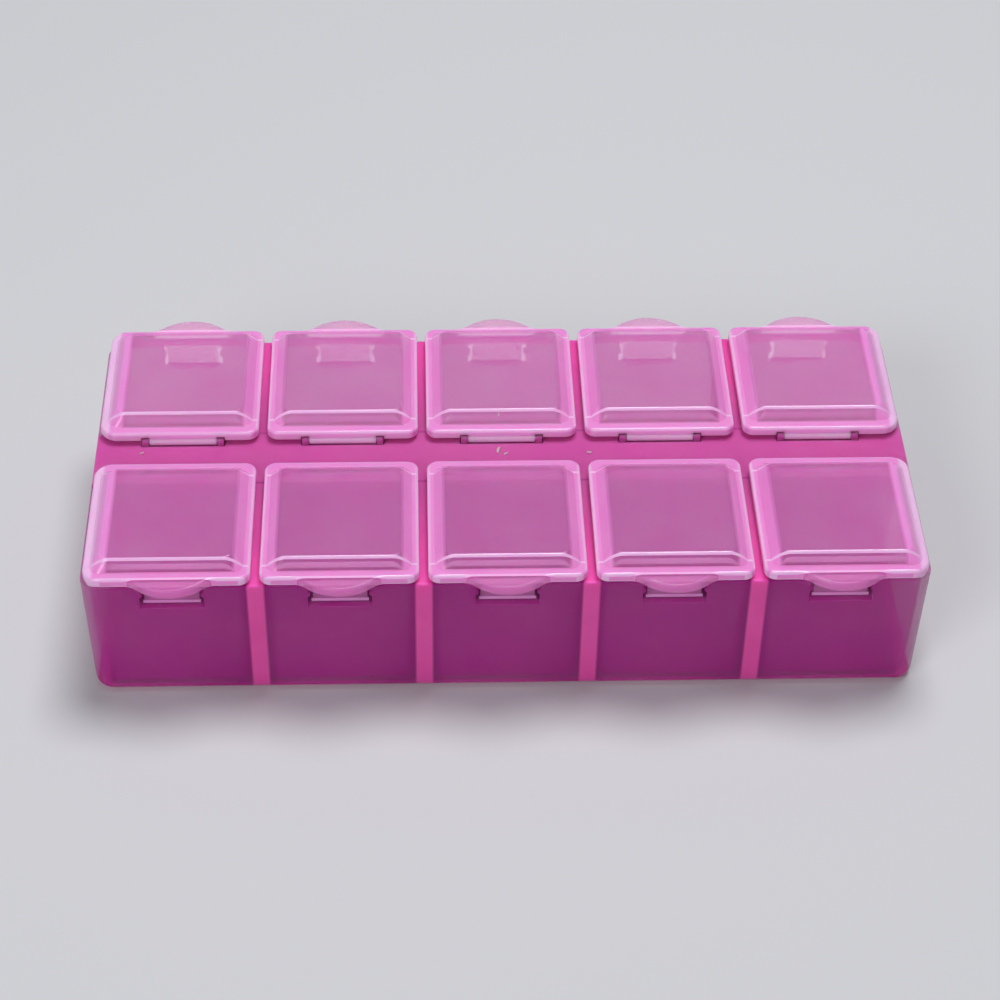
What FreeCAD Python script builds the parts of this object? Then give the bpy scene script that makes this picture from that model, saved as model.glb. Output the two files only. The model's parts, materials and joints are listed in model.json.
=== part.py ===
import FreeCAD, Part
import math
import os

# Bead storage box: one moulded tray with two rows of compartments, and a snap lid
# hinged over every compartment along the flat spine in the middle.
# Millimetres. Origin on the table under the middle of the box, +X along the rows,
# -Y to the front, +Z up.

# Tray, outside
tray_length = 130.0
tray_depth = 59.4
tray_height = 23.15
outer_draft = 1.4
outer_corner_radius = 3.0
bottom_edge_radius = 2.0
rim_edge_radius = 0.35

# Tray, inside
column_count = 5
outer_wall = 1.1
end_wall = 1.3
floor_thickness = 1.2
partition_thickness = 2.5
compartment_draft = 0.7
compartment_corner_radius = 1.5
compartment_floor_radius = 1.0

# Spine between the rows, and the channel under its deck
channel_width = 9.2
spine_wall = 1.3
deck_thickness = 1.2

# Lids
lid_gap = 1.35
end_lid_extra = 1.15
lid_end_margin = 0.65
lid_overhang = 0.5
lid_lift = 0.6
seat_gap = 0.15
seat_reach = 0.75
flange_thickness = 1.6
flange_corner_radius = 1.8
end_lid_corner_radius = 2.8
flange_top_radius = 0.5
flange_bottom_radius = 0.3
flange_side = 1.1
flange_front = 1.4
flange_hinge = 1.85
plateau_rise = 1.8
plateau_slope_run = 1.5
plateau_corner_radius = 1.6
plateau_edge_radius = 0.45
lid_shell = 1.0
underside_inset = 0.6
underside_lean = 0.5

# Finger tab on the free edge of a lid
tab_width = 14.2
tab_reach = 2.7
tab_tip_share = 0.72

# Latch: a tongue under the lid hangs in a notch of the outer wall
tongue_side_gap = 0.775
tongue_thickness = 0.9
tongue_drop = 4.15
tongue_corner_radius = 0.8
notch_width = 9.85
notch_bottom_gap = 0.3
catch_bead_radius = 0.3
catch_bead_height = 0.35
nib_radius = 0.45
nib_drop = 1.9
snap_clearance = 0.1

# Hinge: a knuckle on the lid carries two stub pins that snap into lugs of the spine
hinge_half_spacing = 3.75
hinge_edge_step = 0.25
hinge_drop = 0.15
hinge_zone = 13.0
knuckle_radius = 0.65
knuckle_gap = 0.2
pin_radius = 0.4
pin_clearance = 0.05
pin_end_gap = 0.1
lug_radius = 0.75
lug_thickness = 1.0
lug_side_gap = 0.15
lug_slot_width = 0.65

# Overlap that lets fused bodies share volume, and reach of a cutter past a face
weld = 0.3
past = 1.0

# Largest share of a wall or corner that a round may take up
round_share = 0.7
level_tolerance = 1e-4

# Worked out from the sizes above
half_length = tray_length / 2
half_depth = tray_depth / 2
outer_lean = math.tan(math.radians(outer_draft))
inner_lean = math.tan(math.radians(compartment_draft))
columns_beside_middle = (column_count - 1) / 2
lid_width = (
    half_length - lid_end_margin - end_lid_extra - columns_beside_middle * lid_gap
) / (column_count / 2)
column_pitch = lid_width + lid_gap
flange_bottom = tray_height + lid_lift
flange_top = flange_bottom + flange_thickness
plateau_top = flange_top + plateau_rise
lid_outer_edge = half_depth + lid_overhang
hinge_height = flange_bottom - hinge_drop
hinge_edge = hinge_half_spacing - hinge_edge_step
hinge_room = lug_radius + knuckle_gap
channel_half_width = channel_width / 2
knuckle_length = hinge_zone - 2 * (lug_thickness + lug_side_gap)
tongue_bottom = tray_height - tongue_drop
tongue_width = notch_width - 2 * tongue_side_gap
tongue_outer_face = half_depth - outer_wall
notch_bottom = tongue_bottom - notch_bottom_gap


def column_x(column):
    return (column - columns_beside_middle) * column_pitch


def vec(x, y, z):
    return FreeCAD.Vector(x, y, z)


def line(start, end):
    return Part.LineSegment(start, end).toShape()


def arc(start, middle, end):
    return Part.Arc(start, middle, end).toShape()


def limited_round(radius, room):
    """A round that stays inside its share of the wall or corner that it runs along."""
    return min(radius, round_share * room)


def block(x0, x1, y0, y1, z0, z1):
    return Part.makeBox(x1 - x0, y1 - y0, z1 - z0, vec(x0, y0, z0))


def rod_x(x0, x1, y, z, radius):
    return Part.makeCylinder(radius, x1 - x0, vec(x0, y, z), vec(1, 0, 0))


def corner_arc(corner_x, corner_y, side_x, side_y, radius, z, along_y_first):
    """Quarter round at a corner; side_x and side_y point from the corner into the outline."""
    on_x_side = vec(corner_x + side_x * radius, corner_y, z)
    on_y_side = vec(corner_x, corner_y + side_y * radius, z)
    inset = radius * (1 - math.sqrt(0.5))
    middle = vec(corner_x + side_x * inset, corner_y + side_y * inset, z)
    if along_y_first:
        return arc(on_y_side, middle, on_x_side)
    return arc(on_x_side, middle, on_y_side)


def rounded_outline(x0, x1, y0, y1, z, radii, far_side=None):
    """Closed outline at height z. radii: near left, near right, far right, far left.
    far_side may give edges that take the place of the straight far side."""
    near_left, near_right, far_right, far_left = radii
    far_edges = far_side or [line(vec(x1 - far_right, y1, z), vec(x0 + far_left, y1, z))]
    edges = [line(vec(x0 + near_left, y0, z), vec(x1 - near_right, y0, z))]
    edges.append(corner_arc(x1, y0, -1, 1, near_right, z, False))
    edges.append(line(vec(x1, y0 + near_right, z), vec(x1, y1 - far_right, z)))
    edges.append(corner_arc(x1, y1, -1, -1, far_right, z, True))
    edges.extend(far_edges)
    edges.append(corner_arc(x0, y1, 1, -1, far_left, z, False))
    edges.append(line(vec(x0, y1 - far_left, z), vec(x0, y0 + near_left, z)))
    edges.append(corner_arc(x0, y0, 1, 1, near_left, z, True))
    return Part.Wire(edges)


def loft(lower, upper):
    return Part.makeLoft([lower, upper], True, True)


def edges_at_height(shape, z):
    """Edges that lie in the level plane z."""
    found = []
    for edge in shape.Edges:
        box = edge.BoundBox
        if max(abs(box.ZMin - z), abs(box.ZMax - z)) < level_tolerance:
            found.append(edge)
    return found


def turned_to_front(shape):
    """The same piece for the front row: half a turn about the upright axis of the box."""
    copy = shape.copy()
    copy.rotate(vec(0, 0, 0), vec(0, 0, 1), 180)
    return copy


# Tray

def tray_outside():
    """Drafted block with rounded upright corners, rounded foot and softened rim."""
    def outline(z):
        lean = (tray_height - z) * outer_lean
        x = half_length - lean
        y = half_depth - lean
        return rounded_outline(-x, x, -y, y, z, [outer_corner_radius] * 4)

    body = loft(outline(0), outline(tray_height))
    foot_round = limited_round(bottom_edge_radius, outer_corner_radius)
    body = body.makeFillet(foot_round, edges_at_height(body, 0))
    rim_round = limited_round(rim_edge_radius, outer_wall)
    return body.makeFillet(rim_round, edges_at_height(body, tray_height))


def compartment(column):
    """Hollow of one back-row compartment, with sides that open towards the rim."""
    is_first = column == 0
    is_last = column == column_count - 1

    def outline(z):
        outer_shift = (tray_height - z) * outer_lean
        inner_shift = (tray_height - z) * inner_lean
        half_room = column_pitch / 2 - partition_thickness / 2 - inner_shift
        end_face = half_length - end_wall - outer_shift
        x0 = -end_face if is_first else column_x(column) - half_room
        x1 = end_face if is_last else column_x(column) + half_room
        y0 = channel_half_width + spine_wall + inner_shift
        y1 = half_depth - outer_wall - outer_shift
        return rounded_outline(x0, x1, y0, y1, z, [compartment_corner_radius] * 4)

    hollow = loft(outline(floor_thickness), outline(tray_height))
    floor_round = limited_round(compartment_floor_radius, compartment_corner_radius)
    return hollow.makeFillet(floor_round, edges_at_height(hollow, floor_thickness))


def under_channel():
    """Hollow under the spine's deck, open below, so that the two rows stand on their own walls."""
    ceiling = tray_height - deck_thickness

    def outline(z):
        x = half_length - end_wall - (tray_height - z) * outer_lean
        y = channel_half_width - z * inner_lean
        return rounded_outline(-x, x, -y, y, z, [compartment_corner_radius] * 4)

    return loft(outline(0), outline(ceiling))


def latch_notch(column):
    """Open-topped notch in the outer wall that the lid's tongue hangs in."""
    x = column_x(column)
    return block(
        x - notch_width / 2,
        x + notch_width / 2,
        half_depth - outer_wall - past,
        half_depth + past,
        notch_bottom,
        tray_height + past,
    )


def notch_nibs(column):
    """Two half-round nibs on the sides of a notch that the tongue's bead snaps past."""
    nibs = []
    height = tray_height - nib_drop
    length = outer_wall - 2 * snap_clearance
    inner_face = half_depth - outer_wall - nib_drop * outer_lean
    for side in (-1, 1):
        x = column_x(column) + side * notch_width / 2
        start = vec(x, inner_face + snap_clearance, height)
        nibs.append(Part.makeCylinder(nib_radius, length, start, vec(0, 1, 0)))
    return nibs


def lug_starts():
    """Where the two lugs of a hinge begin along X, measured from the middle of the lid."""
    first = -hinge_zone / 2
    second = hinge_zone / 2 - lug_thickness
    return [first, second]


def hinge_groove(column):
    """Round groove in the deck that the lid's knuckle and the two lugs sit in."""
    x = column_x(column)
    half = hinge_zone / 2 + knuckle_gap
    return rod_x(x - half, x + half, hinge_half_spacing, hinge_height, hinge_room)


def hinge_lug(x0):
    """Low ear with a bore and a snap-in slot for a stub pin."""
    x1 = x0 + lug_thickness
    y = hinge_half_spacing
    foot = hinge_height - hinge_room - weld
    head = rod_x(x0, x1, y, hinge_height, lug_radius)
    stem = block(x0, x1, y - lug_radius, y + lug_radius, foot, hinge_height)
    bore = rod_x(x0 - past, x1 + past, y, hinge_height, pin_radius + pin_clearance)
    slot = block(
        x0 - past,
        x1 + past,
        y - lug_slot_width / 2,
        y + lug_slot_width / 2,
        hinge_height,
        hinge_height + lug_radius + past,
    )
    return head.fuse(stem).cut(bore).cut(slot)


def make_tray():
    hollows = [under_channel()]
    additions = []
    for column in range(column_count):
        row_hollows = [compartment(column), latch_notch(column), hinge_groove(column)]
        row_additions = notch_nibs(column)
        for start in lug_starts():
            row_additions.append(hinge_lug(column_x(column) + start))
        hollows.extend(row_hollows)
        hollows.extend(turned_to_front(shape) for shape in row_hollows)
        additions.extend(row_additions)
        additions.extend(turned_to_front(shape) for shape in row_additions)
    return tray_outside().cut(hollows).fuse(additions).removeSplitter()


# Lids, drawn for the back row with the middle of the lid at x = 0

def tab_edges(x0, x1, y, z):
    """Free edge of a lid from x1 to x0, with the finger tab as three tangent arcs."""
    half_width = tab_width / 2
    turn = 2 * math.atan(tab_reach / half_width)
    radius_sum = half_width / math.sin(turn)
    tip_radius = tab_tip_share * radius_sum
    root_radius = radius_sum - tip_radius
    root_middle_x = half_width - root_radius * math.sin(turn / 2)
    root_middle_y = y + root_radius * (1 - math.cos(turn / 2))
    join_x = tip_radius * math.sin(turn)
    join_y = y + root_radius * (1 - math.cos(turn))
    return [
        line(vec(x1, y, z), vec(half_width, y, z)),
        arc(vec(half_width, y, z), vec(root_middle_x, root_middle_y, z), vec(join_x, join_y, z)),
        arc(vec(join_x, join_y, z), vec(0, y + tab_reach, z), vec(-join_x, join_y, z)),
        arc(vec(-join_x, join_y, z), vec(-root_middle_x, root_middle_y, z), vec(-half_width, y, z)),
        line(vec(-half_width, y, z), vec(x0, y, z)),
    ]


def lid_flange(x0, x1, radii):
    """Flat rim of the lid with its finger tab and softened edges."""
    far_right = radii[2]
    far_left = radii[3]
    free_edge = tab_edges(x0 + far_left, x1 - far_right, lid_outer_edge, flange_bottom)
    outline = rounded_outline(x0, x1, hinge_edge, lid_outer_edge, flange_bottom, radii, free_edge)
    plate = Part.Face(outline).extrude(vec(0, 0, flange_thickness))
    top_round = limited_round(flange_top_radius, flange_thickness / 2)
    plate = plate.makeFillet(top_round, edges_at_height(plate, flange_top))
    bottom_round = limited_round(flange_bottom_radius, flange_thickness / 2)
    return plate.makeFillet(bottom_round, edges_at_height(plate, flange_bottom))


def lid_crown(x0, x1, inset, z_low, z_high, run, radius):
    """Four-sided crown with sloped sides; inset is measured inward from the plateau's foot."""
    side = flange_side + inset
    y0 = hinge_edge + flange_hinge + inset
    y1 = lid_outer_edge - flange_front - inset
    foot = rounded_outline(x0 + side, x1 - side, y0, y1, z_low, [radius] * 4)
    head = rounded_outline(
        x0 + side + run, x1 - side - run, y0 + run, y1 - run, z_high, [radius] * 4
    )
    return loft(foot, head)


def lid_plateau(x0, x1):
    """Raised middle of the lid."""
    crown = lid_crown(
        x0, x1, 0, flange_top, plateau_top, plateau_slope_run, plateau_corner_radius
    )
    edge_round = limited_round(plateau_edge_radius, plateau_corner_radius / 2)
    return crown.makeFillet(edge_round, edges_at_height(crown, plateau_top))


def lid_underside(x0, x1):
    """Hollow under the plateau that leaves an even shell."""
    ceiling = plateau_top - lid_shell
    run = plateau_slope_run * (ceiling - flange_top) / plateau_rise + underside_lean
    radius = plateau_corner_radius
    mouth = lid_crown(x0, x1, underside_inset, flange_bottom - past, flange_bottom, 0, radius)
    return mouth.fuse(lid_crown(x0, x1, underside_inset, flange_bottom, ceiling, run, radius))


def seat_ring(x0, x1):
    """Low ring under the flange that the lid rests on the rim with."""
    low = tray_height + seat_gap
    high = flange_bottom + weld
    return lid_crown(x0, x1, -seat_reach, low, high, 0, plateau_corner_radius)


def latch_tongue():
    """Springy tongue with rounded lower corners and a catch bead across its outer face."""
    half_width = tongue_width / 2
    y = tongue_outer_face - tongue_thickness
    radius = limited_round(tongue_corner_radius, half_width)
    inset = radius * (1 - math.sqrt(0.5))
    low = tongue_bottom
    high = flange_top
    edges = [
        line(vec(-half_width, y, high), vec(-half_width, y, low + radius)),
        arc(
            vec(-half_width, y, low + radius),
            vec(-half_width + inset, y, low + inset),
            vec(-half_width + radius, y, low),
        ),
        line(vec(-half_width + radius, y, low), vec(half_width - radius, y, low)),
        arc(
            vec(half_width - radius, y, low),
            vec(half_width - inset, y, low + inset),
            vec(half_width, y, low + radius),
        ),
        line(vec(half_width, y, low + radius), vec(half_width, y, high)),
        line(vec(half_width, y, high), vec(-half_width, y, high)),
    ]
    blade = Part.Face(Part.Wire(edges)).extrude(vec(0, tongue_thickness, 0))
    root_end = lid_outer_edge - flange_front
    root = block(-half_width, half_width, y, root_end, flange_bottom, flange_top)
    bead_half = notch_width / 2 - nib_radius - snap_clearance
    bead = rod_x(
        -bead_half, bead_half, tongue_outer_face, tongue_bottom + catch_bead_height, catch_bead_radius
    )
    return [blade, root, bead]


def hinge_knuckle():
    """Barrel on the hinge edge of the lid with a stub pin at each end."""
    y = hinge_half_spacing
    half = knuckle_length / 2
    pin_reach = half + lug_side_gap + lug_thickness - pin_end_gap
    barrel = rod_x(-half, half, y, hinge_height, knuckle_radius)
    pins = rod_x(-pin_reach, pin_reach, y, hinge_height, pin_radius)
    return [barrel, pins]


def lug_pockets():
    """Round pockets in the underside of the flange that let the lid swing past its lugs."""
    inner = knuckle_length / 2
    outer = hinge_zone / 2 + knuckle_gap
    y = hinge_half_spacing
    left = rod_x(-outer, -inner, y, hinge_height, hinge_room)
    right = rod_x(inner, outer, y, hinge_height, hinge_room)
    return [left, right]


def make_lid(column):
    """Lid of one back-row column; the end lids reach further out, with rounder corners."""
    is_first = column == 0
    is_last = column == column_count - 1
    left = end_lid_corner_radius if is_first else flange_corner_radius
    right = end_lid_corner_radius if is_last else flange_corner_radius
    x0 = -lid_width / 2 - (end_lid_extra if is_first else 0)
    x1 = lid_width / 2 + (end_lid_extra if is_last else 0)
    flange = lid_flange(x0, x1, [left, right, right, left])
    cover = flange.fuse([lid_plateau(x0, x1), seat_ring(x0, x1)])
    cover = cover.cut([lid_underside(x0, x1)] + lug_pockets())
    lid = cover.fuse(latch_tongue() + hinge_knuckle()).removeSplitter()
    lid.translate(vec(column_x(column), 0, 0))
    return lid


os.makedirs("parts", exist_ok=True)
make_tray().exportStep("parts/tray.step")
for column in range(column_count):
    back_lid = make_lid(column)
    back_lid.exportStep(f"parts/lid_back_{column + 1}.step")
    turned_to_front(back_lid).exportStep(f"parts/lid_front_{column_count - column}.step")
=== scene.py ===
import json
import math

import bpy
from mathutils import Matrix, Vector


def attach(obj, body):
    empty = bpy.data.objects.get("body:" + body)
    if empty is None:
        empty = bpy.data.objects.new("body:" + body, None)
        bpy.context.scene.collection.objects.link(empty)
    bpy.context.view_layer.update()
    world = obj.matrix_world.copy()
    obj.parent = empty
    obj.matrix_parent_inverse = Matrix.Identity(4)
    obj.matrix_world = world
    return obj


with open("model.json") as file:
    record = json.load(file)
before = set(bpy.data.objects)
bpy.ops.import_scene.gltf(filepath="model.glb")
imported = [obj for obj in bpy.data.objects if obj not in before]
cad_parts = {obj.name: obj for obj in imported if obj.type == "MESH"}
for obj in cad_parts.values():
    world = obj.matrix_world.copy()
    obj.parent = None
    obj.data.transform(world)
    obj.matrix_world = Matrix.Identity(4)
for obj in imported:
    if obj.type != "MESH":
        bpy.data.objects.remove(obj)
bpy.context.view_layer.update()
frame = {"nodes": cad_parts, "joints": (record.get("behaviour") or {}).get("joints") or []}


# Tray. One injection moulding in pink translucent polypropylene: two rows of five
# compartments, the partitions, the flat spine with the hinge lugs, and the latch notches.
# It stands on the table on its own floor, and every lid snaps into it.

mm = 0.001


def to_linear(hex_colour):
    """An sRGB hex colour as linear RGBA."""
    shares = [int(hex_colour[i:i + 2], 16) / 255 for i in (1, 3, 5)]
    return [s / 12.92 if s <= 0.04045 else ((s + 0.055) / 1.055) ** 2.4 for s in shares] + [1.0]


def add_node(tree, kind, inputs, **settings):
    """Adds a node. inputs maps a socket to its value, or to the node or output that feeds it."""
    node = tree.nodes.new(kind)
    for name, value in settings.items():
        setattr(node, name, value)
    for socket, value in inputs.items():
        if isinstance(value, bpy.types.Node):
            value = value.outputs[0]
        if isinstance(value, bpy.types.NodeSocket):
            tree.links.new(value, node.inputs[socket])
        else:
            node.inputs[socket].default_value = value
    return node


def moulded_polypropylene(name, dense_zone, painted_glow_zone, rubbed_zone, look):
    """Translucent polypropylene, injection moulded. It is a waxy, cloudy plastic: a thin wall lets
    the inside show through a pink haze, and the dense zone is fuller in colour and less see-through:
    a thick section, and on the lids also parts painted brighter for the light they catch. At the
    edges a painted glow, a brighter colour, stands in for light that has travelled inside the
    plastic and comes out there. The pigment drifts in soft clouds, the satin skin has a fine mould
    grain and faint scuffs, and where the piece is handled or stands it is rubbed to whitish flecks.
    Each zone is a function that gives 1 inside it."""
    pigment_cloud = 9 * mm
    cloud_start = 0.35
    cloud_full = 0.75
    cloud_share = 0.4
    # Real mould grain is about 0.05 mm wide. It is drawn as coarse as it needs to show.
    mould_grain = 0.35 * mm
    grain_height = 0.0004 * mm
    scuff_spacing = 3 * mm
    scuff_stretch = (1.0, 10.0, 1.0)
    scuff_turn = 0.5
    scuff_start = 0.4
    scuff_full = 0.75
    scuff_roughness = 0.05
    fleck_size = 0.5 * mm
    fleck_start = 0.54
    fleck_full = 0.7
    fleck_colour = "#f7e6f2"
    fleck_roughness = 0.6
    material = bpy.data.materials.new(name)
    material.use_nodes = True
    tree = material.node_tree
    tree.nodes.clear()
    place = add_node(tree, "ShaderNodeTexCoord", {}).outputs["Object"]
    axes = add_node(tree, "ShaderNodeSeparateXYZ", {"Vector": place})
    dense = dense_zone(tree, axes)
    painted_glow = painted_glow_zone(tree, axes)

    # Pigment: thin and dense zones, a painted glow at the edges, and then clouds over them.
    section = add_node(tree, "ShaderNodeMix", {
        0: dense, 6: to_linear(look["thin"]), 7: to_linear(look["dense"])}, data_type="RGBA")
    with_painted_glow = add_node(tree, "ShaderNodeMix", {
        0: painted_glow, 6: section.outputs[2], 7: to_linear(look["painted_glow"])}, data_type="RGBA")
    clouds = add_node(tree, "ShaderNodeTexNoise", {
        "Vector": place, "Scale": 1 / pigment_cloud, "Detail": 2.0, "Roughness": 0.5})
    drift = add_node(tree, "ShaderNodeMapRange", {
        "Value": clouds, "From Min": cloud_start, "From Max": cloud_full, "To Max": cloud_share})
    pigment = add_node(tree, "ShaderNodeMix", {
        0: drift, 6: with_painted_glow.outputs[2], 7: to_linear(look["cloud"])}, data_type="RGBA")

    # Wear: whitish flecks in the rubbed places.
    spots = add_node(tree, "ShaderNodeTexNoise", {
        "Vector": place, "Scale": 1 / fleck_size, "Detail": 4.0, "Roughness": 0.7})
    flecks = add_node(tree, "ShaderNodeMapRange", {
        "Value": spots, "From Min": fleck_start, "From Max": fleck_full})
    rubbed = add_node(tree, "ShaderNodeMath", {0: flecks, 1: rubbed_zone(tree, axes)}, operation="MULTIPLY")
    colour = add_node(tree, "ShaderNodeMix", {
        0: rubbed, 6: pigment.outputs[2], 7: to_linear(fleck_colour)}, data_type="RGBA")

    # Skin: scuffs and flecks change the gloss, and the mould's grain stands in the surface.
    strokes = add_node(tree, "ShaderNodeMapping", {
        "Vector": place, "Rotation": (0, 0, scuff_turn), "Scale": scuff_stretch})
    scuffs = add_node(tree, "ShaderNodeTexNoise", {
        "Vector": strokes, "Scale": 1 / scuff_spacing, "Detail": 5.0, "Roughness": 0.6})
    satin = add_node(tree, "ShaderNodeMapRange", {
        "Value": scuffs, "From Min": scuff_start, "From Max": scuff_full,
        "To Min": look["roughness"], "To Max": look["roughness"] + scuff_roughness})
    gloss = add_node(tree, "ShaderNodeMix", {0: rubbed, 2: satin, 3: fleck_roughness})
    grain = add_node(tree, "ShaderNodeTexNoise", {
        "Vector": place, "Scale": 1 / mould_grain, "Detail": 3.0, "Roughness": 0.6})
    skin = add_node(tree, "ShaderNodeBump", {"Height": grain, "Strength": 0.6, "Distance": grain_height})

    # See-through: the cover is the share of light that the skin takes up, and the rest goes straight on.
    body_cover = add_node(tree, "ShaderNodeMapRange", {
        "Value": dense, "To Min": look["thin_cover"], "To Max": look["dense_cover"]})
    # The painted glow also makes the edges less see-through.
    painted_glow_cover_share = add_node(tree, "ShaderNodeMapRange", {"Value": painted_glow, "To Max": look["painted_glow_cover"]})
    clean_cover = add_node(tree, "ShaderNodeMath", {0: body_cover, 1: painted_glow_cover_share}, operation="MAXIMUM")
    cover = add_node(tree, "ShaderNodeMath", {0: clean_cover, 1: rubbed}, operation="MAXIMUM")
    shader = add_node(tree, "ShaderNodeBsdfPrincipled", {
        "Base Color": colour.outputs[2],
        "Roughness": gloss,
        "Normal": skin,
        "Alpha": cover,
        "Transmission Weight": look["clear"],
        "IOR": 1.49,
        "Specular IOR Level": look["specular"],
        "Subsurface Weight": 1.0,
        "Subsurface Radius": (1.0, 0.5, 0.8),
        "Subsurface Scale": 2.0 * mm})
    add_node(tree, "ShaderNodeOutputMaterial", {"Surface": shader})
    return material


# The hinges say where the columns are: their spacing along X is the pitch of the compartments.
hinges = {joint["child"]: Vector(joint["pos_m"]) for joint in frame["joints"]}
column_pitch = hinges["lid_back_2"].x - hinges["lid_back_1"].x


def off_column(tree, axes):
    """Distance along X from the middle of the nearest column, as a share of the pitch: 0 to 0.5."""
    columns = add_node(tree, "ShaderNodeMath", {0: axes.outputs["X"], 1: column_pitch}, operation="DIVIDE")
    return add_node(tree, "ShaderNodeMath", {0: columns, 1: 0.5}, operation="PINGPONG")


def off_middle(tree, axes):
    """Distance along Y from the middle of the box."""
    return add_node(tree, "ShaderNodeMath", {0: axes.outputs["Y"]}, operation="ABSOLUTE")


spine_half = 6.0 * mm
partition_half = 1.3 * mm


def partitions(tree, axes):
    """The partitions, without the spine and the end walls."""
    soft_edge = 0.2 * mm / column_pitch
    soft_end = 0.4 * mm
    partition_start = 0.5 - partition_half / column_pitch
    last_partition = 2.3 * column_pitch
    end_wall = 2.4 * column_pitch
    between_columns = add_node(tree, "ShaderNodeMapRange", {
        "Value": off_column(tree, axes),
        "From Min": partition_start - soft_edge, "From Max": partition_start + soft_edge})
    beside_spine = add_node(tree, "ShaderNodeMapRange", {
        "Value": off_middle(tree, axes),
        "From Min": spine_half - soft_end, "From Max": spine_half + soft_end})
    along = add_node(tree, "ShaderNodeMath", {0: axes.outputs["X"]}, operation="ABSOLUTE")
    inside_ends = add_node(tree, "ShaderNodeMapRange", {
        "Value": along, "From Min": end_wall, "From Max": last_partition})
    rows = add_node(tree, "ShaderNodeMath", {0: beside_spine, 1: inside_ends}, operation="MULTIPLY")
    return add_node(tree, "ShaderNodeMath", {0: between_columns, 1: rows}, operation="MULTIPLY")


def thick_sections(tree, axes):
    """The partitions and the deck of the spine, without the walls under the deck."""
    soft_edge = 0.4 * mm
    deck_foot = 20.5 * mm
    deck_full = 22.0 * mm
    between_rows = add_node(tree, "ShaderNodeMapRange", {
        "Value": off_middle(tree, axes),
        "From Min": spine_half + soft_edge, "From Max": spine_half - soft_edge})
    deck = add_node(tree, "ShaderNodeMapRange", {
        "Value": axes.outputs["Z"], "From Min": deck_foot, "From Max": deck_full})
    spine = add_node(tree, "ShaderNodeMath", {0: between_rows, 1: deck}, operation="MULTIPLY")
    return add_node(tree, "ShaderNodeMath", {0: spine, 1: partitions(tree, axes)}, operation="MAXIMUM")


def painted_edge_glow(tree, axes):
    """Where a glow is painted: the partitions again, painted brighter from the spine outwards, and
    the edge of the floor at the table. The painted glow stands in for the light that both lead to the
    outside."""
    painted_glow_start = 8 * mm
    painted_glow_full = 27 * mm
    floor_top = 1.15 * mm
    floor_edge_full = 0.8 * mm
    outwards = add_node(tree, "ShaderNodeMapRange", {
        "Value": off_middle(tree, axes), "From Min": painted_glow_start, "From Max": painted_glow_full})
    painted_bright_partitions = add_node(tree, "ShaderNodeMath", {
        0: partitions(tree, axes), 1: outwards}, operation="MULTIPLY")
    painted_floor_edge_glow = add_node(tree, "ShaderNodeMapRange", {
        "Value": axes.outputs["Z"], "From Min": floor_top, "From Max": floor_edge_full})
    return add_node(tree, "ShaderNodeMath", {0: painted_bright_partitions, 1: painted_floor_edge_glow}, operation="MAXIMUM")


def standing_edge(tree, axes):
    """The edge at the table, fading out just above it."""
    worn_level = 0.2 * mm
    clean_level = 1.3 * mm
    return add_node(tree, "ShaderNodeMapRange", {
        "Value": axes.outputs["Z"], "From Min": clean_level, "From Max": worn_level})


# The glow colour is painted light: a painted glow on the partitions and on the floor's edge.
tray_plastic = moulded_polypropylene(
    "tray_polypropylene_pink_moulded", thick_sections, painted_edge_glow, standing_edge, {
        "thin": "#c82aa8", "dense": "#cc5aa4", "painted_glow": "#ff5cba", "cloud": "#cc46a6",
        "thin_cover": 0.47, "dense_cover": 1.0, "painted_glow_cover": 1.0, "clear": 0.12,
        "roughness": 0.3, "specular": 0.25})
frame["nodes"]["tray"].data.materials.clear()
frame["nodes"]["tray"].data.materials.append(tray_plastic)


# Lids. Ten mouldings of the same polypropylene with less pigment, each pressed by its two
# stub pins into the lugs of the spine. The thin raised middle lets the latch tongue and the
# inside show. The flange and the sloped sides are painted milkier and brighter for the light
# they catch, and their rims and the raised middle's upper edges get a painted highlight.

def flange_and_sides(tree, axes):
    """The flange and the two sloped sides of a lid, without its raised middle and its tab: painted milkier
    and brighter for the light they catch.
    """
    soft_edge = 0.3 * mm
    raised_half = 9.6 * mm
    free_flange_middle = 29.5 * mm
    free_flange_half = 0.8 * mm
    hinge_flange_end = 5.2 * mm
    side = add_node(tree, "ShaderNodeMapRange", {
        "Value": off_column(tree, axes),
        "From Min": (raised_half - soft_edge) / column_pitch,
        "From Max": (raised_half + soft_edge) / column_pitch})
    free_edge = add_node(tree, "ShaderNodeMath", {
        0: off_middle(tree, axes), 1: free_flange_middle, 2: free_flange_half}, operation="COMPARE")
    hinge_edge = add_node(tree, "ShaderNodeMapRange", {
        "Value": off_middle(tree, axes),
        "From Min": hinge_flange_end + soft_edge, "From Max": hinge_flange_end - soft_edge})
    ends = add_node(tree, "ShaderNodeMath", {0: free_edge, 1: hinge_edge}, operation="MAXIMUM")
    return add_node(tree, "ShaderNodeMath", {0: side, 1: ends}, operation="MAXIMUM")


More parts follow.
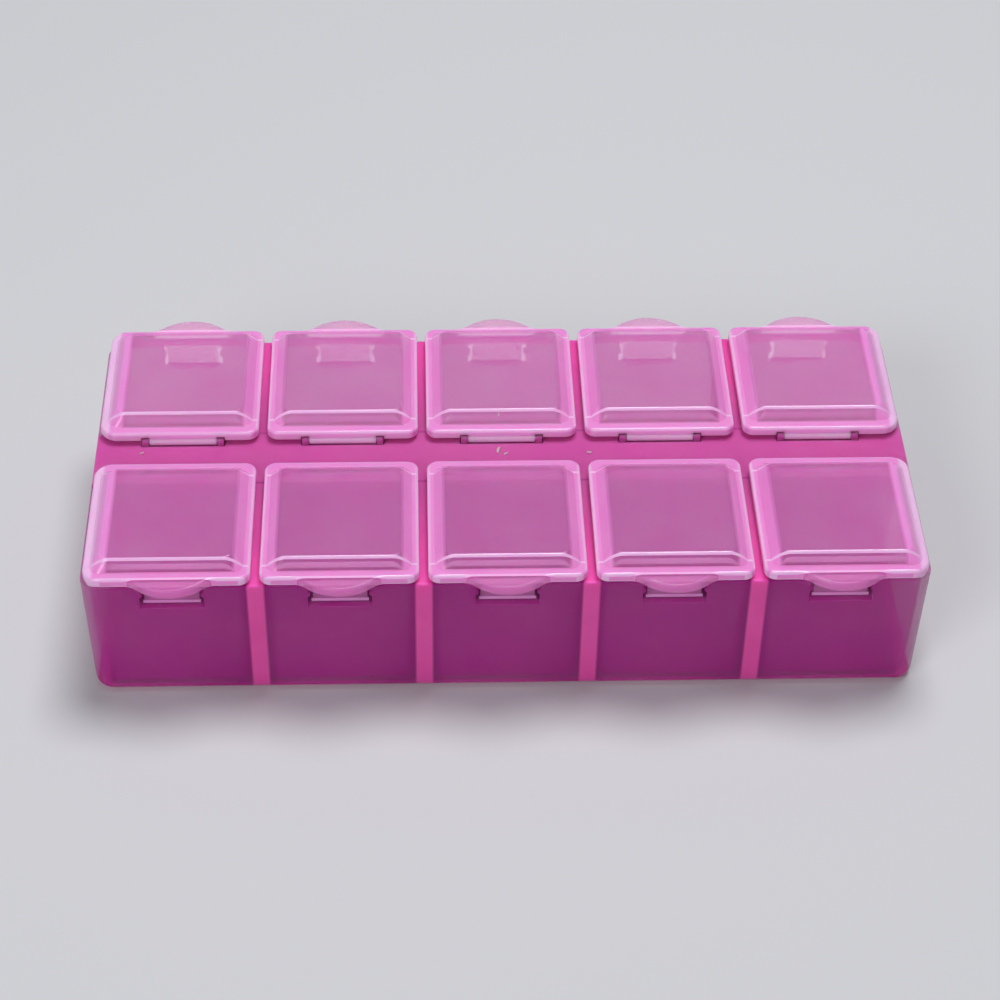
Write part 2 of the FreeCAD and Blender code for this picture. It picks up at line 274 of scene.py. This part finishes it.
def painted_lid_highlights(tree, axes):
    """The rim of the flange and the upper edge of the raised middle, where a pale highlight and glow are
    painted.
    """
    soft_edge = 0.2 * mm
    side_rim_start = 11.7 * mm
    hinge_rim_end = 3.8 * mm
    raised_hinge_edge = 6.75 * mm
    raised_free_edge = 27.4 * mm
    free_rim = 30.0 * mm
    line_half = 0.2 * mm
    side_rim = add_node(tree, "ShaderNodeMapRange", {
        "Value": off_column(tree, axes),
        "From Min": (side_rim_start - soft_edge) / column_pitch,
        "From Max": (side_rim_start + soft_edge) / column_pitch})
    hinge_rim = add_node(tree, "ShaderNodeMapRange", {
        "Value": off_middle(tree, axes),
        "From Min": hinge_rim_end + soft_edge, "From Max": hinge_rim_end - soft_edge})
    edges = add_node(tree, "ShaderNodeMath", {0: side_rim, 1: hinge_rim}, operation="MAXIMUM")
    for line in (raised_hinge_edge, raised_free_edge, free_rim):
        on_line = add_node(tree, "ShaderNodeMath", {
            0: off_middle(tree, axes), 1: line, 2: line_half}, operation="COMPARE")
        edges = add_node(tree, "ShaderNodeMath", {0: edges, 1: on_line}, operation="MAXIMUM")
    return edges


def tab_tip(tree, axes):
    """The tip of the back row's finger tabs, where nails lift the lids."""
    clean_reach = 31.0 * mm
    worn_reach = 32.6 * mm
    return add_node(tree, "ShaderNodeMapRange", {
        "Value": axes.outputs["Y"], "From Min": clean_reach, "From Max": worn_reach})


# The brighter colour and milky cover of the flange and sides are painted light, and the glow is a painted
# highlight on the rims and edges.
lid_plastic = moulded_polypropylene("lid_polypropylene_milky_moulded", flange_and_sides, painted_lid_highlights, tab_tip, {
    "thin": "#f98cd8", "dense": "#ff98de", "painted_glow": "#ffc6ee", "cloud": "#fbaae2",
    "thin_cover": 0.34, "dense_cover": 0.86, "painted_glow_cover": 0.92, "clear": 0.06,
    "roughness": 0.13, "specular": 0.5})
for name in hinges:
    frame["nodes"][name].data.materials.clear()
    frame["nodes"][name].data.materials.append(lid_plastic)


# Flash. Thin slivers of the same polypropylene that the mould left behind and nobody trimmed:
# on the spine near the middle and the left end, and on one lid's raised edge. They look whitish.

flash_plastic = moulded_polypropylene("flash_polypropylene_whitened", thick_sections, painted_lid_highlights, tab_tip, {
    "thin": "#fbe2f3", "dense": "#fbe2f3", "painted_glow": "#fbe2f3", "cloud": "#fdf0f9",
    "thin_cover": 0.9, "dense_cover": 0.95, "painted_glow_cover": 0.95, "clear": 0.1,
    "roughness": 0.3, "specular": 0.5})

sliver_outline = (
    (-0.5, -0.12), (-0.2, -0.2), (0.15, -0.08), (0.5, -0.16), (0.42, 0.1), (0.05, 0.2), (-0.38, 0.12))
sliver_bend = (0.0, 0.22, 0.1, 0.3, 0.36, 0.16, 0.08)
sliver_thickness = 0.14


def add_sliver(name, body, place, size, turn):
    """A bent flake lying on the surface of a body. place and size, its length, are in mm. Outline,
    bend and thickness are shares of the length."""
    lower = [Vector((x, y, z)) for (x, y), z in zip(sliver_outline, sliver_bend)]
    upper = [point + Vector((0, 0, sliver_thickness)) for point in lower]
    count = len(lower)
    spin = Matrix.Rotation(math.radians(turn), 3, "Z")
    points = [(spin @ point * size + Vector(place)) * mm for point in lower + upper]
    faces = [tuple(reversed(range(count))), tuple(range(count, 2 * count))]
    faces += [(i, (i + 1) % count, count + (i + 1) % count, count + i) for i in range(count)]
    mesh = bpy.data.meshes.new(name)
    mesh.from_pydata(points, [], faces)
    mesh.materials.append(flash_plastic)
    sliver = bpy.data.objects.new(name, mesh)
    bpy.context.scene.collection.objects.link(sliver)
    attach(sliver, body)


# Each sliver is rooted a little below the surface it stands on.
spine_root = 23.12
slope_root = 26.35
add_sliver("flash_spine_middle", "tray", (-0.6, 1.1, spine_root), 1.1, 70)
add_sliver("flash_spine_middle_small", "tray", (0.6, 0.3, spine_root), 0.8, 20)
add_sliver("flash_spine_right", "tray", (14.0, 0.4, spine_root), 0.9, -35)
add_sliver("flash_spine_left", "tray", (-57.6, 1.2, spine_root), 0.8, 15)
add_sliver("flash_lid_back_3", "lid_back_3", (-0.4, 6.3, slope_root), 0.8, 80)


# Floor. A sheet of pale matt studio paper on the table, which runs out of the picture on
# every side and takes the box's shadow.

floor_half = 2.0
floor_mesh = bpy.data.meshes.new("studio_floor")
floor_mesh.from_pydata(
    [(-floor_half, -floor_half, 0), (floor_half, -floor_half, 0),
     (floor_half, floor_half, 0), (-floor_half, floor_half, 0)], [], [(0, 1, 2, 3)])
floor = bpy.data.objects.new("studio_floor", floor_mesh)
bpy.context.scene.collection.objects.link(floor)
floor_paper = bpy.data.materials.new("studio_paper_pale_grey")
floor_paper.use_nodes = True
floor_shader = floor_paper.node_tree.nodes["Principled BSDF"]
floor_shader.inputs["Base Color"].default_value = to_linear("#c6c7cb")
floor_shader.inputs["Roughness"].default_value = 0.9
floor_mesh.materials.append(floor_paper)


# Light. A large softbox overhead and a little behind, a weaker one at the front left, and a
# pale even surround.

def softbox(name, place, size, power):
    """A round soft lamp that faces the box."""
    light = bpy.data.lights.new(name, "AREA")
    light.shape = "DISK"
    light.size = size
    light.energy = power
    lamp = bpy.data.objects.new(name, light)
    lamp.location = place
    lamp.rotation_euler = (-Vector(place)).to_track_quat("-Z", "Y").to_euler()
    bpy.context.scene.collection.objects.link(lamp)


softbox("softbox_above", (0.1, 0.16, 0.85), 0.4, 6.0)
softbox("softbox_front", (-0.5, -0.7, 0.6), 0.5, 4.0)
world = bpy.data.worlds.new("studio")
world.use_nodes = True
sky = world.node_tree.nodes["Background"]
sky.inputs["Color"].default_value = to_linear("#dcdce0")
sky.inputs["Strength"].default_value = 0.22
bpy.context.scene.world = world


# Camera. It stands in front of the box and looks down on it at the photograph's angle. Its
# place, angles and lens are fitted to the lines of the photograph.

camera_place = Vector((-13.31, -311.1, 293.9)) * mm
look_down = math.radians(42.0)
turn_right = math.radians(2.41)
roll = math.radians(1.03)
camera_data = bpy.data.cameras.new("photo_camera")
camera_data.lens = 92.7
camera_data.sensor_width = 36.0
camera = bpy.data.objects.new("photo_camera", camera_data)
camera.matrix_world = (
    Matrix.Translation(camera_place)
    @ Matrix.Rotation(-turn_right, 4, "Z")
    @ Matrix.Rotation(math.pi / 2 - look_down, 4, "X")
    @ Matrix.Rotation(roll, 4, "Z")
)
bpy.context.scene.collection.objects.link(camera)
bpy.context.scene.camera = camera
bpy.context.scene.view_settings.view_transform = "Standard"
